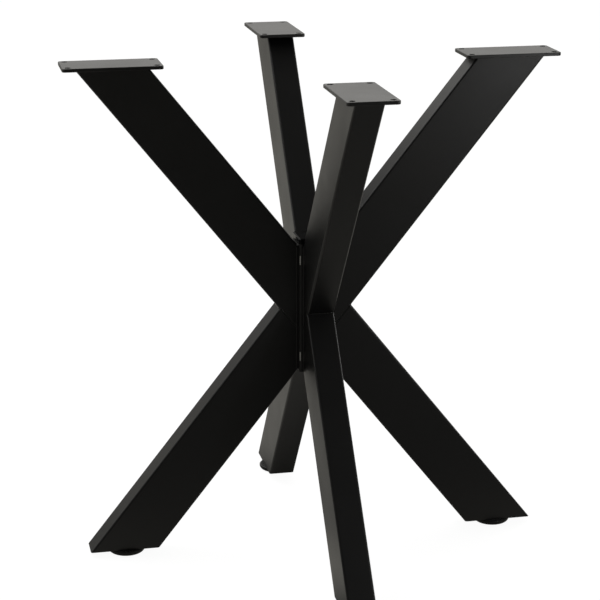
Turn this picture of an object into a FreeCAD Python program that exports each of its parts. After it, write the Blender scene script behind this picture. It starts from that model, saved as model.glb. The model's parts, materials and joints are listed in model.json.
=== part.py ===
import FreeCAD, Part
import math
import os

# Four star table base: V-shaped tube legs bolted round a square hub, with screw plates and levelling feet.
# The origin is on the floor, on the vertical axis through the hub. Z is up, X and Y lie along the legs.
# Sizes are in millimetres.

# Overall form
HEIGHT = 730.0                  # floor to the top of the screw plates
ARM_ANGLE = 38.5                # each arm's lean from the vertical, in degrees
NOTCH_RADIUS = 53.3             # hub axis to the outer notch of a leg

# Tube of the legs
TUBE_DEPTH = 80.0               # in the plane of the leg
TUBE_WIDTH = 40.0               # across the leg
TUBE_WALL = 2.0
TUBE_CORNER = 3.0               # outer corner radius

# Screw plates
TOP_PLATE_LENGTH = 140.0        # along the leg
TOP_PLATE_WIDTH = 70.0
TOP_PLATE_THICKNESS = 5.0
TOP_PLATE_CORNER = 5.0
TOP_PLATE_EDGE = 0.6            # bevel of the upper and lower edges
SCREW_HOLE_DIAMETER = 8.5
SCREW_HOLE_INSET = 8.5          # hole centre to the plate's edges

# Hub
HUB_SIDE = 50.0
HUB_WALL = 3.0
HUB_CORNER = 4.0
HUB_PLATE_THICKNESS = 3.0
HUB_PLATE_SETBACK = 2.0         # from the leg's upper and lower corner to the plate's ends
HUB_CAP_THICKNESS = 8.0
HUB_CAP_EDGE = 1.6              # bevel of the cap's upper edge
HUB_CAP_SKIRT = 10.0            # depth of the skirt inside the hub
HUB_CAP_WALL = 2.0
HUB_CAP_CLEARANCE = 0.3

# Bolts that hold the legs to the hub
BOLT_DIAMETER = 8.0
BOLT_LENGTH = 16.0
BOLT_END_DISTANCE = 24.0        # bolt axis to the end of the hub
BOLT_HEAD_DIAMETER = 14.0
BOLT_HEAD_HEIGHT = 4.4
BOLT_HEAD_CROWN = 7.0           # flat on top of the head
BOLT_HEAD_RIM = 1.0             # straight side of the head
BOLT_SOCKET = 5.0               # across flats
BOLT_SOCKET_DEPTH = 2.6
WASHER_DIAMETER = 16.0
WASHER_THICKNESS = 1.6
HUB_NUT_ACROSS = 13.0
HUB_NUT_HEIGHT = 6.5

# Levelling feet
FOOT_INSET = 4.0                # foot axis, inward from the middle of the tube's lower end
PAD_DIAMETER = 55.0
PAD_HEIGHT = 8.0
PAD_TOP_EDGE = 1.5              # rounding of the pad's upper edge
PAD_SIDE = 0.5                  # straight side above the rounded lower edge
PAD_FLOOR = 3.0                 # plastic under the stud
STUD_DIAMETER = 10.0
STUD_ABOVE_PAD = 30.0
STUD_CHAMFER = 1.0
FOOT_PLATE_THICKNESS = 3.0
FOOT_NUT_ACROSS = 17.0
FOOT_NUT_HEIGHT = 8.0

# Clearances
THREAD_CLEARANCE = 0.05         # radial, screw in its nut or in its moulded seat
HOLE_CLEARANCE = 0.5            # radial, screw in a plain hole
CORNER_CLEARANCE = 0.5          # corner of a plate in the corner of a tube

# Sizes that follow from those above
SLOPE = math.tan(math.radians(ARM_ANGLE))
ARM_COS = math.cos(math.radians(ARM_ANGLE))
TOP_CUT = HEIGHT - TOP_PLATE_THICKNESS
BOTTOM_CUT = PAD_HEIGHT
MIDDLE = (TOP_CUT + BOTTOM_CUT) / 2
CUT_LENGTH = TUBE_DEPTH / ARM_COS
TIP_RADIUS = NOTCH_RADIUS + (TOP_CUT - MIDDLE) * SLOPE
CUT_CENTRE = TIP_RADIUS - CUT_LENGTH / 2
FOOT_RADIUS = CUT_CENTRE - FOOT_INSET
HUB_FACE = HUB_SIDE / 2
LEG_END = HUB_FACE + HUB_PLATE_THICKNESS
HUB_HALF = (LEG_END + CUT_LENGTH - NOTCH_RADIUS) / SLOPE
BOLT_OFFSET = HUB_HALF - BOLT_END_DISTANCE
BOLT_SEAT = HUB_FACE - HUB_WALL - WASHER_THICKNESS
INNER_DEPTH = TUBE_DEPTH - 2 * TUBE_WALL
INNER_WIDTH = TUBE_WIDTH - 2 * TUBE_WALL
INNER_CORNER = max(TUBE_CORNER - TUBE_WALL, TUBE_WALL / 4)
ARM_REACH = HEIGHT + 2 * TUBE_DEPTH
PAD_BOTTOM_EDGE = PAD_HEIGHT - PAD_TOP_EDGE - PAD_SIDE

LEGS = {"right": 0.0, "rear": 90.0, "left": 180.0, "front": 270.0}
UP = FreeCAD.Vector(0, 0, 1)
OUT = FreeCAD.Vector(1, 0, 0)
ORIGIN = FreeCAD.Vector(0, 0, 0)
UPPER = 1
LOWER = -1
TOLERANCE = 1e-6


def polygon(points):
    """Face from a list of corner points in order."""
    return Part.Face(Part.makePolygon(points + points[:1]))


def rounded_rectangle(length, width, radius):
    """Face centred on the origin, length along X and width along Y, with round corners."""
    x = length / 2 - radius
    y = width / 2 - radius
    core = polygon([FreeCAD.Vector(px, py, 0) for px, py in ((x, y), (-x, y), (-x, -y), (x, -y))])
    return core.makeOffset2D(radius)


def chamfered_rectangle(length, width, cut):
    """Face centred on the origin, length along X and width along Y, with cut corners."""
    x, y = length / 2, width / 2
    outline = [(x, cut - y), (x, y - cut), (x - cut, y), (cut - x, y),
               (-x, y - cut), (-x, cut - y), (cut - x, -y), (x - cut, -y)]
    return polygon([FreeCAD.Vector(px, py, 0) for px, py in outline])


def rims_at(shape, height):
    """Edges of a shape that lie level at a height."""
    return [rim for rim in shape.Edges if all(abs(corner.Z - height) < TOLERANCE for corner in rim.Vertexes)]


def slab(length, width, radius, thickness, edge=0.0, both=False):
    """Plate with round corners, its underside on Z = 0, its upper edge (and lower, if both) bevelled."""
    plate = rounded_rectangle(length, width, radius).extrude(UP * thickness)
    if not edge:
        return plate
    rims = rims_at(plate, thickness)
    if both:
        rims += rims_at(plate, 0)
    return plate.makeChamfer(edge, rims)


def revolved(profile):
    """Solid of revolution about Z from a list of (radius, height) points."""
    face = polygon([FreeCAD.Vector(r, 0, z) for r, z in profile])
    return face.revolve(ORIGIN, UP, 360)


def hexagon(across, height):
    """Hexagonal prism standing on Z = 0."""
    radius = across / math.sqrt(3)
    corners = []
    for angle in range(0, 360, 60):
        turn = math.radians(angle)
        corners.append(FreeCAD.Vector(radius * math.cos(turn), radius * math.sin(turn), 0))
    return polygon(corners).extrude(UP * height)


def nut(across, height, screw_diameter):
    """Hexagon nut standing on Z = 0, with its corners turned off at the free end."""
    corner = across / math.sqrt(3)
    flat = across / 2
    drop = (corner - flat) * math.tan(math.radians(30))
    blank = revolved([(0, 0), (corner, 0), (corner, height - drop), (flat, height), (0, height)])
    bore = Part.makeCylinder(screw_diameter / 2 + THREAD_CLEARANCE, height)
    return hexagon(across, height).common(blank).cut(bore)


def outward(shape, radius, height):
    """Copy of a shape standing on Z, laid along X with its base at the given radius and height."""
    moved = shape.copy()
    moved.rotate(ORIGIN, FreeCAD.Vector(0, 1, 0), 90)
    moved.translate(FreeCAD.Vector(radius, 0, height))
    return moved


def along_arm(face, side):
    """Prism of a section along one arm's centre line, past both of its ends."""
    bar = face.extrude(UP * (2 * ARM_REACH))
    bar.translate(FreeCAD.Vector(-TUBE_DEPTH / 2, 0, -ARM_REACH))
    bar.rotate(ORIGIN, FreeCAD.Vector(0, 1, 0), ARM_ANGLE)
    if side == LOWER:
        bar = bar.mirror(ORIGIN, UP)
    bar.translate(FreeCAD.Vector(NOTCH_RADIUS, 0, MIDDLE))
    return bar


def side_prism(outline):
    """Block as wide as the leg and more, from an outline of (radius, height) points in the leg's plane."""
    face = polygon([FreeCAD.Vector(r, -TUBE_WIDTH, z) for r, z in outline])
    return face.extrude(FreeCAD.Vector(0, 2 * TUBE_WIDTH, 0))


def tube(side):
    """Endless tube of one arm."""
    outer = along_arm(rounded_rectangle(TUBE_DEPTH, TUBE_WIDTH, TUBE_CORNER), side)
    return outer.cut(along_arm(rounded_rectangle(INNER_DEPTH, INNER_WIDTH, INNER_CORNER), side))


def upper_face_height(radius):
    """Height of the upper arm's outer face, on which the lower arm butts, at a radius."""
    return MIDDLE + (radius - NOTCH_RADIUS) / SLOPE


def upper_arm():
    """Tube from the hub plate up to the screw plate."""
    room = side_prism([(LEG_END, 0), (ARM_REACH, 0), (ARM_REACH, TOP_CUT), (LEG_END, TOP_CUT)])
    return tube(UPPER).common(room)


def lower_arm():
    """Tube from the hub plate and the underside of the upper arm down to the foot."""
    room = side_prism([(LEG_END, BOTTOM_CUT), (ARM_REACH, BOTTOM_CUT),
                       (ARM_REACH, upper_face_height(ARM_REACH)), (LEG_END, upper_face_height(LEG_END))])
    return tube(LOWER).common(room)


def top_plate():
    """Screw plate on the upper end of a leg, with a hole near each corner."""
    plate = slab(TOP_PLATE_LENGTH, TOP_PLATE_WIDTH, TOP_PLATE_CORNER, TOP_PLATE_THICKNESS,
                 TOP_PLATE_EDGE, both=True)
    for sx in (-1, 1):
        for sy in (-1, 1):
            hole = Part.makeCylinder(SCREW_HOLE_DIAMETER / 2, TOP_PLATE_THICKNESS)
            hole.translate(FreeCAD.Vector(sx * (TOP_PLATE_LENGTH / 2 - SCREW_HOLE_INSET),
                                          sy * (TOP_PLATE_WIDTH / 2 - SCREW_HOLE_INSET), 0))
            plate = plate.cut(hole)
    plate.translate(FreeCAD.Vector(CUT_CENTRE, 0, TOP_CUT))
    return plate


def hub_plate():
    """Plate that closes the inner end of a leg and seats on the hub."""
    length = 2 * (HUB_HALF - HUB_PLATE_SETBACK)
    plate = slab(length, TUBE_WIDTH, TUBE_CORNER, HUB_PLATE_THICKNESS)
    for side in (UPPER, LOWER):
        hole = Part.makeCylinder(BOLT_DIAMETER / 2 + HOLE_CLEARANCE, HUB_PLATE_THICKNESS)
        hole.translate(FreeCAD.Vector(side * BOLT_OFFSET, 0, 0))
        plate = plate.cut(hole)
    return outward(plate, HUB_FACE, MIDDLE)


def foot_plate():
    """Plate let into the lower end of a leg, flush with it, with a hole for the stud."""
    corner = INNER_CORNER + CORNER_CLEARANCE
    filling = along_arm(chamfered_rectangle(INNER_DEPTH, INNER_WIDTH, corner), LOWER)
    top = BOTTOM_CUT + FOOT_PLATE_THICKNESS
    room = side_prism([(LEG_END, BOTTOM_CUT), (ARM_REACH, BOTTOM_CUT), (ARM_REACH, top), (LEG_END, top)])
    plate = filling.common(room)
    hole = Part.makeCylinder(STUD_DIAMETER / 2 + HOLE_CLEARANCE, FOOT_PLATE_THICKNESS)
    hole.translate(FreeCAD.Vector(FOOT_RADIUS, 0, BOTTOM_CUT))
    return plate.cut(hole)


def foot_pad():
    """Round plastic pad with a well rounded lower edge, and a blind seat for the stud."""
    pad = Part.makeCylinder(PAD_DIAMETER / 2, PAD_HEIGHT)
    pad = pad.makeFillet(PAD_BOTTOM_EDGE, rims_at(pad, 0))
    pad = pad.makeFillet(PAD_TOP_EDGE, rims_at(pad, PAD_HEIGHT))
    seat = Part.makeCylinder(STUD_DIAMETER / 2 + THREAD_CLEARANCE, PAD_HEIGHT - PAD_FLOOR)
    seat.translate(UP * PAD_FLOOR)
    pad = pad.cut(seat)
    pad.translate(OUT * FOOT_RADIUS)
    return pad


def foot_stud():
    """Threaded stud, with its thread left plain, from the pad up through the nut."""
    radius = STUD_DIAMETER / 2
    top = PAD_HEIGHT + STUD_ABOVE_PAD
    stud = revolved([(0, PAD_FLOOR), (radius, PAD_FLOOR), (radius, top - STUD_CHAMFER),
                     (radius - STUD_CHAMFER, top), (0, top)])
    stud.translate(OUT * FOOT_RADIUS)
    return stud


def foot_nut():
    """Nut welded on the foot plate, inside the lower arm."""
    shape = nut(FOOT_NUT_ACROSS, FOOT_NUT_HEIGHT, STUD_DIAMETER)
    shape.translate(FreeCAD.Vector(FOOT_RADIUS, 0, BOTTOM_CUT + FOOT_PLATE_THICKNESS))
    return shape


def hub_nuts():
    """Two nuts welded on the hub plate, inside the two arms."""
    return [outward(nut(HUB_NUT_ACROSS, HUB_NUT_HEIGHT, BOLT_DIAMETER), LEG_END, MIDDLE + side * BOLT_OFFSET)
            for side in (UPPER, LOWER)]


def hub_bolts():
    """Two button-head bolts, put in from inside the hub."""
    head = revolved([(0, 0), (BOLT_HEAD_DIAMETER / 2, 0), (BOLT_HEAD_DIAMETER / 2, BOLT_HEAD_RIM),
                     (BOLT_HEAD_CROWN / 2, BOLT_HEAD_HEIGHT), (0, BOLT_HEAD_HEIGHT)])
    socket = hexagon(BOLT_SOCKET, BOLT_SOCKET_DEPTH)
    socket.translate(UP * (BOLT_HEAD_HEIGHT - BOLT_SOCKET_DEPTH))
    head = head.cut(socket)
    head.rotate(ORIGIN, OUT, 180)
    bolt = head.fuse(Part.makeCylinder(BOLT_DIAMETER / 2, BOLT_LENGTH)).removeSplitter()
    return [outward(bolt, BOLT_SEAT, MIDDLE + side * BOLT_OFFSET) for side in (UPPER, LOWER)]


def hub_washers():
    """Two washers under the bolt heads."""
    ring = Part.makeCylinder(WASHER_DIAMETER / 2, WASHER_THICKNESS)
    ring = ring.cut(Part.makeCylinder(BOLT_DIAMETER / 2 + HOLE_CLEARANCE, WASHER_THICKNESS))
    return [outward(ring, BOLT_SEAT, MIDDLE + side * BOLT_OFFSET) for side in (UPPER, LOWER)]


def hub():
    """Square post, open below, with two bolt holes in each wall."""
    inner_side = HUB_SIDE - 2 * HUB_WALL
    inner_corner = max(HUB_CORNER - HUB_WALL, HUB_WALL / 4)
    post = rounded_rectangle(HUB_SIDE, HUB_SIDE, HUB_CORNER).extrude(UP * (2 * HUB_HALF))
    post = post.cut(rounded_rectangle(inner_side, inner_side, inner_corner).extrude(UP * (2 * HUB_HALF)))
    post.translate(UP * (MIDDLE - HUB_HALF))
    for turn in LEGS.values():
        for side in (UPPER, LOWER):
            hole = Part.makeCylinder(BOLT_DIAMETER / 2 + HOLE_CLEARANCE, HUB_WALL)
            hole = outward(hole, HUB_FACE - HUB_WALL, MIDDLE + side * BOLT_OFFSET)
            hole.rotate(ORIGIN, UP, turn)
            post = post.cut(hole)
    return post


def hub_cap():
    """Plastic cap on the top of the hub, with a skirt that goes into it."""
    cap = slab(HUB_SIDE, HUB_SIDE, HUB_CORNER, HUB_CAP_THICKNESS, HUB_CAP_EDGE)
    outer_side = HUB_SIDE - 2 * HUB_WALL - 2 * HUB_CAP_CLEARANCE
    outer_corner = max(HUB_CORNER - HUB_WALL, HUB_WALL / 4) + HUB_CAP_CLEARANCE
    inner_side = outer_side - 2 * HUB_CAP_WALL
    skirt = rounded_rectangle(outer_side, outer_side, outer_corner).extrude(UP * -HUB_CAP_SKIRT)
    skirt = skirt.cut(rounded_rectangle(inner_side, inner_side, outer_corner).extrude(UP * -HUB_CAP_SKIRT))
    cap = cap.fuse(skirt).removeSplitter()
    cap.translate(UP * (MIDDLE + HUB_HALF))
    return cap


def turned(shape, angle):
    """Copy of a shape of the right-hand leg, turned about the hub's axis."""
    copy = shape.copy()
    copy.rotate(ORIGIN, UP, angle)
    return copy


def write(name, shapes):
    """Writes one node, of one solid or of a group of like solids."""
    solids = [solid for shape in shapes for solid in shape.Solids]
    shape = solids[0] if len(solids) == 1 else Part.makeCompound(solids)
    shape.exportStep("parts/" + name + ".step")


def main():
    os.makedirs("parts", exist_ok=True)
    leg_pieces = {"upper_arm": upper_arm(), "lower_arm": lower_arm(), "top_plate": top_plate(),
                  "hub_plate": hub_plate(), "foot_plate": foot_plate(), "foot_stud": foot_stud(),
                  "foot_pad": foot_pad()}
    for piece, shape in leg_pieces.items():
        for leg, angle in LEGS.items():
            write(piece + "_" + leg, [turned(shape, angle)])
    groups = {"foot_nuts": [foot_nut()], "hub_nuts": hub_nuts(), "hub_bolts": hub_bolts(),
              "hub_washers": hub_washers()}
    for group, shapes in groups.items():
        write(group, [turned(shape, angle) for angle in LEGS.values() for shape in shapes])
    write("hub", [hub()])
    write("hub_cap", [hub_cap()])


main()
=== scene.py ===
"""Dresses the table base: powder coat, weld beads, stud threads, moulded feet, studio light and camera."""
import bpy
import json
import math
from mathutils import Matrix, Vector


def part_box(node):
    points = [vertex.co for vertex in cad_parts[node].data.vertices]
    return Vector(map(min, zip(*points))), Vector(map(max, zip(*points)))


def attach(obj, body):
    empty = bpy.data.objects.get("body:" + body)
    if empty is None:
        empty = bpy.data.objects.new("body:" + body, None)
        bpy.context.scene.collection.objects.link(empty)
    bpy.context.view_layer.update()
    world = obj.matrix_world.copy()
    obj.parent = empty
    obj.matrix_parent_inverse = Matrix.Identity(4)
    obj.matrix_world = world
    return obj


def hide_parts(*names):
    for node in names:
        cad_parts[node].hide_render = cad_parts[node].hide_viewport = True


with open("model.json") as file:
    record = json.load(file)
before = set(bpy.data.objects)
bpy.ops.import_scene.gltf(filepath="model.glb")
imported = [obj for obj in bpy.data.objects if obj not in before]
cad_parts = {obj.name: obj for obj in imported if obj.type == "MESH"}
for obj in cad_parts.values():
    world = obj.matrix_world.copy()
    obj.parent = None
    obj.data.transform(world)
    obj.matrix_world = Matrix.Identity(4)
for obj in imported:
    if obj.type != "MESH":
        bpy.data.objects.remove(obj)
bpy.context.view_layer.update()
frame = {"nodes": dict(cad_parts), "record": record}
nodes = frame["nodes"]

# Camera: place in metres, angles in degrees, sensor and lens in millimetres
CAMERA_EYE = Vector((-0.57018, -2.6169, 1.15811))
CAMERA_AZIMUTH = -11.891
CAMERA_ELEVATION = 16.37
CAMERA_SENSOR = 36.0
CAMERA_LENS = 114.136

# Weld beads: radii and lengths in metres
NOTCH_BEAD = 0.0016
SEAM_BEAD = 0.0016
SEAM_RAISE = 0.8                # of its radius, from the seam up into the upper arm
SEAM_SINK = 0.85                # of its radius, below the side of the tubes
HUB_BEAD = 0.0008
PLATE_BEAD = 0.0016
STITCH_BEAD = 0.0013
STITCH_LENGTH = 0.015
STITCH_END = 0.0165             # from the hub's end to the stitch
STITCH_INSET = 0.0017           # from the hub's sides to the middle of the stitch
BEAD_STEP = 0.0008
BEAD_SIDES = 10
BEAD_TIP = 0.02                 # of its radius, the distance from its end at which the taper stops
RIPPLE_LENGTH = 0.0032
RIPPLE_HEIGHT = 0.12            # of the bead's radius
TUBE_CORNER = 0.003             # rounded corner of the tubes, which stays bare

# Stud threads, in metres
THREAD_PITCH = 0.0015
THREAD_DEPTH = 0.0009
THREAD_FLANK = 0.4              # of the pitch, from crest to root
THREAD_CHAMFER = 1.2            # of the depth, along the stud's upper end
THREAD_SIDES = 36
THREAD_ROWS = 6                 # per pitch

# Part of a noise texture's range that a material uses
NOISE_LOW = 0.3
NOISE_HIGH = 0.7

# Powder coat: noise in cycles per metre, bump heights in metres, ranges of roughness
COAT_GRAIN = {"scale": 1400.0, "detail": 3.0}
COAT_PEEL = {"scale": 260.0, "detail": 2.0}
COAT_PATCHES = {"scale": 14.0, "detail": 2.0}
COAT_DARK = (0.004, 0.004, 0.0042)
COAT_LIGHT = (0.0085, 0.0083, 0.008)
GRAIN_BUMP = {"strength": 0.7, "distance": 0.0001}
PEEL_BUMP = {"strength": 0.14, "distance": 0.0003}
COAT_ROUGHNESS = (0.375, 0.425)
WELD_ROUGHNESS = (0.18, 0.26)
HUB_ROUGHNESS = (0.5, 0.6)

# Moulded plastic, in the same units, with ranges of grey
PLASTIC_MOTTLE = {"scale": 420.0, "detail": 3.0}
PLASTIC_HAZE = {"scale": 60.0, "detail": 2.0}
MOTTLE_BUMP = {"strength": 0.08, "distance": 0.0001}
# The pads' grey is partly their own dark grey and partly painted light, lifted so their tops in the shade
# under the arms don't go black
PAD_FINISH_AND_PAINTED_LIGHT = {"greys": (0.026, 0.036), "roughness": (0.24, 0.30), "gloss": 0.2}
CAP_FINISH = {"greys": (0.004, 0.008), "roughness": (0.16, 0.22), "gloss": 0.05}

# Zinc plating, in the same units
ZINC_CLOUD = {"scale": 180.0, "detail": 4.0}
ZINC_GRAIN = {"scale": 2200.0, "detail": 2.0}
ZINC_DARK = (0.50, 0.50, 0.49)
ZINC_LIGHT = (0.66, 0.66, 0.63)
ZINC_BUMP = {"strength": 0.06, "distance": 0.00005}
ZINC_ROUGHNESS = (0.28, 0.42)

WHITE = (1.0, 1.0, 1.0, 1.0)

# Stage floor, in metres; its glow, seen only in reflections, is painted light and shade in soft round
# spots
FLOOR_HALF = 8.0
FLOOR_DROP = 0.0002             # below the pads
FLOOR_PALE = (0.15, 0.15, 0.15, 1.0)
FLOOR_WARM = (1.0, 0.965, 0.86, 1.0)
FLOOR_WHITE = 0.95              # glow that the camera sees, beside the light that falls on the floor
# painted shade: the glow is dim towards the front
FRONT_DIM = {"spot": (0.2, -2.2, 0.0), "near": 1.85, "far": 2.6, "inside": 0.06, "outside": 0.465}
# painted shadow of the base, on the floor under it
UNDER_SHADE = {"spot": (0.1, 0.24, 0.0), "near": 0.05, "far": 0.3, "inside": 0.1, "outside": 1.0}
# painted shade on the floor to the left of the base
LEFT_SHADE = {"spot": (-0.6, 0.4, 0.0), "near": 0.1, "far": 0.6, "inside": 0.15, "outside": 1.0}
# painted light patch on the floor just in front of the base
FRONT_LIGHT_PATCH = {"spot": (-0.03, -0.12, 0.0), "near": 0.02, "far": 0.17, "inside": 0.35, "outside": 0.0}

# Studio around the base, as steps along Y, Z and X of the direction that is looked in
BACK_WALL = {"start": -0.25, "end": 0.8, "low": 0.05, "high": 1.0}
RISE = {"start": 0.1, "end": 0.32, "low": 0.16, "high": 1.62}
RIGHT_HAND = {"start": -0.5, "end": 0.15, "low": 0.5, "high": 1.0}
STUDIO_WHITE = (1.0, 0.985, 0.945, 1.0)

# Area lamps, in metres and watts
SOFTBOXES = {"key_above": {"place": (-1.2, 1.0, 2.6), "size": 1.6, "power": 20.0},
             "front_right": {"place": (0.8, -1.0, 0.62), "size": 0.2, "power": 1.5},
             "right_side": {"place": (2.2, 0.9, 0.6), "size": 1.0, "power": 7.0},
             "left_side": {"place": (-1.5, 0.2, 1.1), "size": 0.4, "power": 1.2}}

# Direction of each leg, in degrees
LEGS = {"right": 0.0, "rear": 90.0, "left": 180.0, "front": 270.0}

# Lengths of the right-hand leg, read from the frame
TIP_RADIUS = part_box("upper_arm_right")[1].x
LEG_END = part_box("hub_plate_right")[1].x
TOP_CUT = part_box("top_plate_right")[0].z
BOTTOM_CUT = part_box("foot_plate_right")[0].z
SEAM_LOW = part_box("upper_arm_right")[0].z
HALF_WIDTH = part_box("upper_arm_right")[1].y
HUB_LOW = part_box("hub")[0].z
HUB_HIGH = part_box("hub")[1].z
HUB_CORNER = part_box("hub")[1].x - STITCH_INSET
MIDDLE = (TOP_CUT + BOTTOM_CUT) / 2
SLOPE = (TIP_RADIUS - LEG_END) / (TOP_CUT - SEAM_LOW)
TILT = math.atan(SLOPE)
NOTCH_RADIUS = TIP_RADIUS - (TOP_CUT - MIDDLE) * SLOPE
CUT_LENGTH = (HUB_HIGH - MIDDLE) * SLOPE - LEG_END + NOTCH_RADIUS
CUT_INNER = TIP_RADIUS - CUT_LENGTH


def new_material(name):
    """New node material, with its tree and its shader."""
    material = bpy.data.materials.new(name)
    material.use_nodes = True
    tree = material.node_tree
    shader = tree.nodes["Principled BSDF"]
    return material, tree, shader


def object_coordinates(tree):
    """Place on the object, in metres."""
    return tree.nodes.new("ShaderNodeTexCoord").outputs["Object"]


def noise(tree, place, scale, detail):
    """Noise texture over places on the object."""
    texture = tree.nodes.new("ShaderNodeTexNoise")
    texture.inputs["Scale"].default_value = scale
    texture.inputs["Detail"].default_value = detail
    tree.links.new(place, texture.inputs["Vector"])
    return texture.outputs["Fac"]


def span(tree, value, low, high):
    """Maps the used part of a noise texture's range to low..high."""
    mapper = tree.nodes.new("ShaderNodeMapRange")
    mapper.inputs["From Min"].default_value = NOISE_LOW
    mapper.inputs["From Max"].default_value = NOISE_HIGH
    mapper.inputs["To Min"].default_value = low
    mapper.inputs["To Max"].default_value = high
    tree.links.new(value, mapper.inputs["Value"])
    return mapper.outputs["Result"]


def tint(tree, value, dark, light):
    """Colour that runs from dark to light with a noise value."""
    mix = tree.nodes.new("ShaderNodeMix")
    mix.data_type = "RGBA"
    mix.inputs["A"].default_value = (*dark, 1.0)
    mix.inputs["B"].default_value = (*light, 1.0)
    tree.links.new(span(tree, value, 0.0, 1.0), mix.inputs["Factor"])
    return mix.outputs["Result"]


def bump(tree, height, strength, distance, below=None):
    """Bump from a height value, alone or on top of another bump."""
    node = tree.nodes.new("ShaderNodeBump")
    node.inputs["Strength"].default_value = strength
    node.inputs["Distance"].default_value = distance
    tree.links.new(height, node.inputs["Height"])
    if below is not None:
        tree.links.new(below, node.inputs["Normal"])
    return node.outputs["Normal"]


def powder_coat(name, roughness):
    """Black powder coat: fine grain over a faint orange peel, with patches of different roughness."""
    material, tree, shader = new_material(name)
    place = object_coordinates(tree)
    grain = noise(tree, place, **COAT_GRAIN)
    peel = bump(tree, noise(tree, place, **COAT_PEEL), **PEEL_BUMP)
    patches = noise(tree, place, **COAT_PATCHES)
    tree.links.new(tint(tree, grain, COAT_DARK, COAT_LIGHT), shader.inputs["Base Color"])
    tree.links.new(span(tree, patches, *roughness), shader.inputs["Roughness"])
    tree.links.new(bump(tree, grain, below=peel, **GRAIN_BUMP), shader.inputs["Normal"])
    return material


def moulded_plastic(name, greys, roughness, gloss):
    """Black moulded plastic with a haze of grey and a faint satin mottle."""
    material, tree, shader = new_material(name)
    place = object_coordinates(tree)
    mottle = noise(tree, place, **PLASTIC_MOTTLE)
    haze = noise(tree, place, **PLASTIC_HAZE)
    dark, light = ((grey, grey, grey) for grey in greys)
    tree.links.new(tint(tree, haze, dark, light), shader.inputs["Base Color"])
    tree.links.new(span(tree, mottle, *roughness), shader.inputs["Roughness"])
    tree.links.new(bump(tree, mottle, **MOTTLE_BUMP), shader.inputs["Normal"])
    shader.inputs["Specular IOR Level"].default_value = gloss
    return material


def zinc_steel(name):
    """Zinc-plated steel, faintly clouded."""
    material, tree, shader = new_material(name)
    place = object_coordinates(tree)
    cloud = noise(tree, place, **ZINC_CLOUD)
    grain = noise(tree, place, **ZINC_GRAIN)
    tree.links.new(tint(tree, cloud, ZINC_DARK, ZINC_LIGHT), shader.inputs["Base Color"])
    tree.links.new(span(tree, cloud, *ZINC_ROUGHNESS), shader.inputs["Roughness"])
    tree.links.new(bump(tree, grain, **ZINC_BUMP), shader.inputs["Normal"])
    shader.inputs["Metallic"].default_value = 1.0
    return material


SLOT_MATERIALS = {"powder_coat": powder_coat("powder_coat", COAT_ROUGHNESS),
                  "black_plastic": moulded_plastic("black_plastic", **PAD_FINISH_AND_PAINTED_LIGHT),
                  "zinc_steel": zinc_steel("zinc_steel")}
OWN_MATERIALS = {"hub": powder_coat("hub_coat", HUB_ROUGHNESS),
                 "hub_cap": moulded_plastic("cap_plastic", **CAP_FINISH)}
WELD_COAT = powder_coat("weld_coat", WELD_ROUGHNESS)


def dress_nodes():
    """Gives every CAD node its own material, or that of its slot in the record."""
    for part in frame["record"]["subparts"]:
        for slot in nodes[part["node"]].material_slots:
            slot.material = OWN_MATERIALS.get(part["node"], SLOT_MATERIALS[part["material_slot"]])


def add_mesh(name, points, faces, material, body):
    """New smooth piece that rides on a body."""
    mesh = bpy.data.meshes.new(name)
    mesh.from_pydata(points, [], faces)
    mesh.materials.append(material)
    mesh.polygons.foreach_set("use_smooth", [True] * len(mesh.polygons))
    mesh.update()
    piece = bpy.data.objects.new(name, mesh)
    bpy.context.scene.collection.objects.link(piece)
    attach(piece, body)
    return piece


def skin_rings(rings, points, faces):
    """Adds a closed skin over rings of points, capped at both ends."""
    base = len(points)
    sides = len(rings[0])
    for ring in rings:
        points.extend(ring)
    for row in range(len(rings) - 1):
        low = base + row * sides
        for turn in range(sides):
            after = (turn + 1) % sides
            faces.append((low + turn, low + after, low + sides + after, low + sides + turn))
    faces.append(tuple(base + turn for turn in reversed(range(sides))))
    last = base + (len(rings) - 1) * sides
    faces.append(tuple(last + turn for turn in range(sides)))


def bead_rings(start, end, radius):
    """Rings of points along a straight, rippled weld bead with round ends."""
    along = end - start
    length = along.length
    along.normalize()
    side = along.orthogonal().normalized()
    other = along.cross(side)
    count = round(length / BEAD_STEP)
    rings = []
    for row in range(count + 1):
        at = length * row / count
        ripple = 1.0 - RIPPLE_HEIGHT * (at / RIPPLE_LENGTH % 1.0)
        to_end = min(at, length - at)
        taper = math.sqrt(min(1.0, max(BEAD_TIP, to_end / radius)))
        centre = start + along * at
        ring = []
        for turn in range(BEAD_SIDES):
            angle = 2 * math.pi * turn / BEAD_SIDES
            out = side * math.cos(angle) + other * math.sin(angle)
            ring.append(centre + out * radius * ripple * taper)
        rings.append(ring)
    return rings


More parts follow.
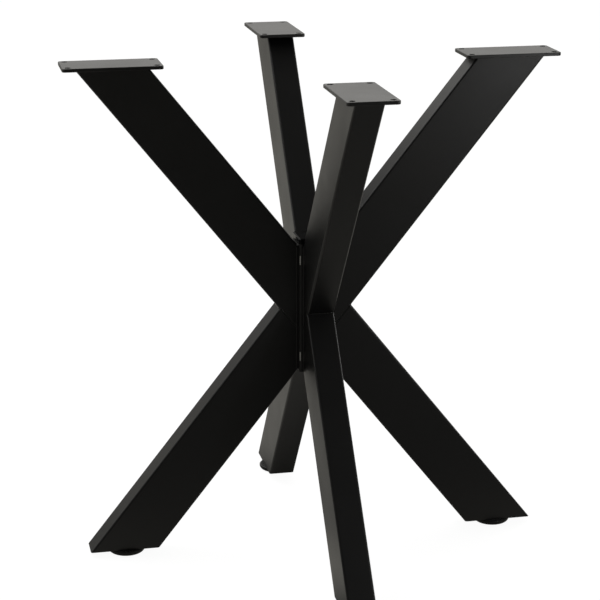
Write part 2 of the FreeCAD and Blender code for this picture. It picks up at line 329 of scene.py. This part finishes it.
def leg_beads():
    """(start, end, radius) of each weld bead of the right-hand leg."""
    flat = HALF_WIDTH - TUBE_CORNER
    inner = CUT_INNER + TUBE_CORNER
    outer = TIP_RADIUS - TUBE_CORNER
    lift = SEAM_RAISE * SEAM_BEAD
    sink = SEAM_SINK * SEAM_BEAD
    beads = []
    for radius, height, bead in ((NOTCH_RADIUS, MIDDLE, NOTCH_BEAD), (CUT_INNER, TOP_CUT, PLATE_BEAD),
                                 (TIP_RADIUS, TOP_CUT, PLATE_BEAD)):
        beads.append((Vector((radius, -flat, height)), Vector((radius, flat, height)), bead))
    for side in (-1, 1):
        y = side * HALF_WIDTH
        groove = Vector((-lift * math.cos(TILT), y - side * sink, lift * math.sin(TILT)))
        seam = (Vector((NOTCH_RADIUS, 0, MIDDLE)) + groove, Vector((LEG_END, 0, SEAM_LOW)) + groove)
        hub = (Vector((LEG_END, y, HUB_LOW + TUBE_CORNER)), Vector((LEG_END, y, HUB_HIGH - TUBE_CORNER)))
        plate = (Vector((inner, y, TOP_CUT)), Vector((outer, y, TOP_CUT)))
        beads += [(*seam, SEAM_BEAD), (*hub, HUB_BEAD), (*plate, PLATE_BEAD)]
    return beads


def corner_stitches():
    """(start, end, radius) of the two short weld runs on the hub's corner beside the right-hand leg."""
    stitches = []
    for low in (HUB_LOW + STITCH_END, HUB_HIGH - STITCH_END - STITCH_LENGTH):
        foot = Vector((HUB_CORNER, HUB_CORNER, low))
        stitches.append((foot, foot + Vector((0, 0, STITCH_LENGTH)), STITCH_BEAD))
    return stitches


def add_beads(name, beads, angle, material):
    """One piece of weld beads, turned from the right-hand leg to another."""
    turn = Matrix.Rotation(math.radians(angle), 3, "Z")
    points, faces = [], []
    for start, end, radius in beads:
        skin_rings(bead_rings(turn @ start, turn @ end, radius), points, faces)
    add_mesh(name, points, faces, material, "frame")


def add_welds():
    """Painted weld beads of each leg, and the bright stitches on the hub's corners."""
    for leg, angle in LEGS.items():
        add_beads("welds_" + leg, leg_beads(), angle, WELD_COAT)
        add_beads("stitches_" + leg, corner_stitches(), angle, SLOT_MATERIALS["zinc_steel"])


def thread_depth(height, left, share):
    """Depth of the thread at a height on the stud, with a length left above it, at a share of a turn."""
    phase = (height / THREAD_PITCH - share) % 1.0
    groove = min(1.0, min(phase, 1.0 - phase) / THREAD_FLANK)
    chamfer = 1.0 - left / THREAD_DEPTH / THREAD_CHAMFER
    return THREAD_DEPTH * max(groove, chamfer)


def thread_rings(low, high):
    """Rings of points up a threaded stud that fills a box."""
    axis = (low + high) / 2
    crest = (high.x - low.x) / 2
    length = high.z - low.z
    count = round(length / THREAD_PITCH * THREAD_ROWS)
    rings = []
    for row in range(count + 1):
        height = length * row / count
        ring = []
        for turn in range(THREAD_SIDES):
            share = turn / THREAD_SIDES
            angle = 2 * math.pi * share
            radius = crest - thread_depth(height, length - height, share)
            x = axis.x + radius * math.cos(angle)
            y = axis.y + radius * math.sin(angle)
            ring.append(Vector((x, y, low.z + height)))
        rings.append(ring)
    return rings


def add_threads():
    """Threaded stud in place of each plain one."""
    for leg in LEGS:
        node = "foot_stud_" + leg
        points, faces = [], []
        skin_rings(thread_rings(*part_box(node)), points, faces)
        piece = add_mesh("stud_thread_" + leg, points, faces,
                         SLOT_MATERIALS["zinc_steel"], "foot_" + leg)
        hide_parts(node)


def smooth_step(tree, value, start, end, low, high):
    """Smooth step from low to high as a value goes from start to end."""
    mapper = tree.nodes.new("ShaderNodeMapRange")
    mapper.interpolation_type = "SMOOTHSTEP"
    mapper.inputs["From Min"].default_value = start
    mapper.inputs["From Max"].default_value = end
    mapper.inputs["To Min"].default_value = low
    mapper.inputs["To Max"].default_value = high
    tree.links.new(value, mapper.inputs["Value"])
    return mapper.outputs["Result"]


def spot_level(tree, place, spot, near, far, inside, outside):
    """Level that goes from inside to outside between two distances from a spot."""
    apart = tree.nodes.new("ShaderNodeVectorMath")
    apart.operation = "DISTANCE"
    apart.inputs[1].default_value = spot
    tree.links.new(place, apart.inputs[0])
    return smooth_step(tree, apart.outputs["Value"], near, far, inside, outside)


def combine(tree, operation, first, second):
    """Sum or product of two values."""
    node = tree.nodes.new("ShaderNodeMath")
    node.operation = operation
    tree.links.new(first, node.inputs[0])
    tree.links.new(second, node.inputs[1])
    return node.outputs[0]


def floor_glow(tree):
    """Emission of the floor: white to the camera, and warm painted light and shade in spots to
    reflections.
    """
    place = object_coordinates(tree)
    level = spot_level(tree, place, **FRONT_DIM)
    # painted shadow and shade spots darken the glow; a painted light patch adds to it
    for shade in (UNDER_SHADE, LEFT_SHADE):
        level = combine(tree, "MULTIPLY", level, spot_level(tree, place, **shade))
    level = combine(tree, "ADD", level, spot_level(tree, place, **FRONT_LIGHT_PATCH))
    path = tree.nodes.new("ShaderNodeLightPath")
    strength = tree.nodes.new("ShaderNodeMath")
    strength.operation = "MULTIPLY_ADD"
    strength.inputs[1].default_value = FLOOR_WHITE
    tree.links.new(path.outputs["Is Camera Ray"], strength.inputs[0])
    tree.links.new(combine(tree, "MULTIPLY", path.outputs["Is Glossy Ray"], level), strength.inputs[2])
    colour = tree.nodes.new("ShaderNodeMix")
    colour.data_type = "RGBA"
    colour.inputs["A"].default_value = FLOOR_WARM
    colour.inputs["B"].default_value = WHITE
    tree.links.new(path.outputs["Is Camera Ray"], colour.inputs["Factor"])
    glow = tree.nodes.new("ShaderNodeEmission")
    tree.links.new(colour.outputs["Result"], glow.inputs["Color"])
    tree.links.new(strength.outputs[0], glow.inputs["Strength"])
    return glow.outputs[0]


def floor_material():
    """Pale floor that keeps the base's faint shadow, and is clear from below."""
    material = bpy.data.materials.new("floor")
    material.use_nodes = True
    tree = material.node_tree
    tree.nodes.clear()
    pale = tree.nodes.new("ShaderNodeBsdfDiffuse")
    pale.inputs["Color"].default_value = FLOOR_PALE
    both = tree.nodes.new("ShaderNodeAddShader")
    tree.links.new(pale.outputs[0], both.inputs[0])
    tree.links.new(floor_glow(tree), both.inputs[1])
    side = tree.nodes.new("ShaderNodeNewGeometry")
    clear = tree.nodes.new("ShaderNodeBsdfTransparent")
    faced = tree.nodes.new("ShaderNodeMixShader")
    tree.links.new(side.outputs["Backfacing"], faced.inputs["Fac"])
    tree.links.new(both.outputs[0], faced.inputs[1])
    tree.links.new(clear.outputs[0], faced.inputs[2])
    output = tree.nodes.new("ShaderNodeOutputMaterial")
    tree.links.new(faced.outputs[0], output.inputs["Surface"])
    return material


def add_floor():
    """Square floor just under the feet."""
    corners = [(-FLOOR_HALF, -FLOOR_HALF), (FLOOR_HALF, -FLOOR_HALF),
               (FLOOR_HALF, FLOOR_HALF), (-FLOOR_HALF, FLOOR_HALF)]
    mesh = bpy.data.meshes.new("floor")
    mesh.from_pydata([(x, y, -FLOOR_DROP) for x, y in corners], [], [(0, 1, 2, 3)])
    mesh.materials.append(floor_material())
    floor = bpy.data.objects.new("floor", mesh)
    bpy.context.scene.collection.objects.link(floor)


def add_world():
    """White to the camera; to everything else a studio with a bright back wall and a dim front."""
    world = bpy.data.worlds.new("studio")
    bpy.context.scene.world = world
    world.use_nodes = True
    tree = world.node_tree
    tree.nodes.clear()
    direction = tree.nodes.new("ShaderNodeTexCoord")
    split = tree.nodes.new("ShaderNodeSeparateXYZ")
    tree.links.new(direction.outputs["Generated"], split.inputs[0])
    wall = smooth_step(tree, split.outputs["Y"], **BACK_WALL)
    rise = smooth_step(tree, split.outputs["Z"], **RISE)
    across = smooth_step(tree, split.outputs["X"], **RIGHT_HAND)
    level = combine(tree, "MULTIPLY", combine(tree, "MULTIPLY", wall, rise), across)
    studio = tree.nodes.new("ShaderNodeBackground")
    studio.inputs["Color"].default_value = STUDIO_WHITE
    tree.links.new(level, studio.inputs["Strength"])
    white = tree.nodes.new("ShaderNodeBackground")
    white.inputs["Color"].default_value = WHITE
    path = tree.nodes.new("ShaderNodeLightPath")
    choose = tree.nodes.new("ShaderNodeMixShader")
    tree.links.new(path.outputs["Is Camera Ray"], choose.inputs["Fac"])
    tree.links.new(studio.outputs[0], choose.inputs[1])
    tree.links.new(white.outputs[0], choose.inputs[2])
    output = tree.nodes.new("ShaderNodeOutputWorld")
    tree.links.new(choose.outputs[0], output.inputs["Surface"])


def add_softbox(name, place, size, power):
    """Square area lamp that faces the middle of the base and doesn't show in the picture."""
    lamp = bpy.data.lights.new(name, "AREA")
    lamp.shape = "SQUARE"
    lamp.size = size
    lamp.energy = power
    softbox = bpy.data.objects.new(name, lamp)
    softbox.location = place
    softbox.visible_camera = False
    towards = Vector((0.0, 0.0, MIDDLE)) - softbox.location
    softbox.rotation_mode = "QUATERNION"
    softbox.rotation_quaternion = towards.to_track_quat("-Z", "Y")
    bpy.context.scene.collection.objects.link(softbox)


def add_camera():
    """Camera at the photograph's place and angle."""
    data = bpy.data.cameras.new("camera")
    data.sensor_width = CAMERA_SENSOR
    data.lens = CAMERA_LENS
    camera = bpy.data.objects.new("camera", data)
    azimuth = math.radians(CAMERA_AZIMUTH)
    elevation = math.radians(CAMERA_ELEVATION)
    back = Vector((math.sin(azimuth) * math.cos(elevation), -math.cos(azimuth) * math.cos(elevation),
                   math.sin(elevation)))
    camera.location = CAMERA_EYE
    camera.rotation_mode = "QUATERNION"
    camera.rotation_quaternion = (-back).to_track_quat("-Z", "Y")
    bpy.context.scene.collection.objects.link(camera)
    bpy.context.scene.camera = camera


dress_nodes()
add_welds()
add_threads()
add_floor()
add_world()
for lamp_name, settings in SOFTBOXES.items():
    add_softbox(lamp_name, **settings)
add_camera()
bpy.context.scene.view_settings.view_transform = "Standard"
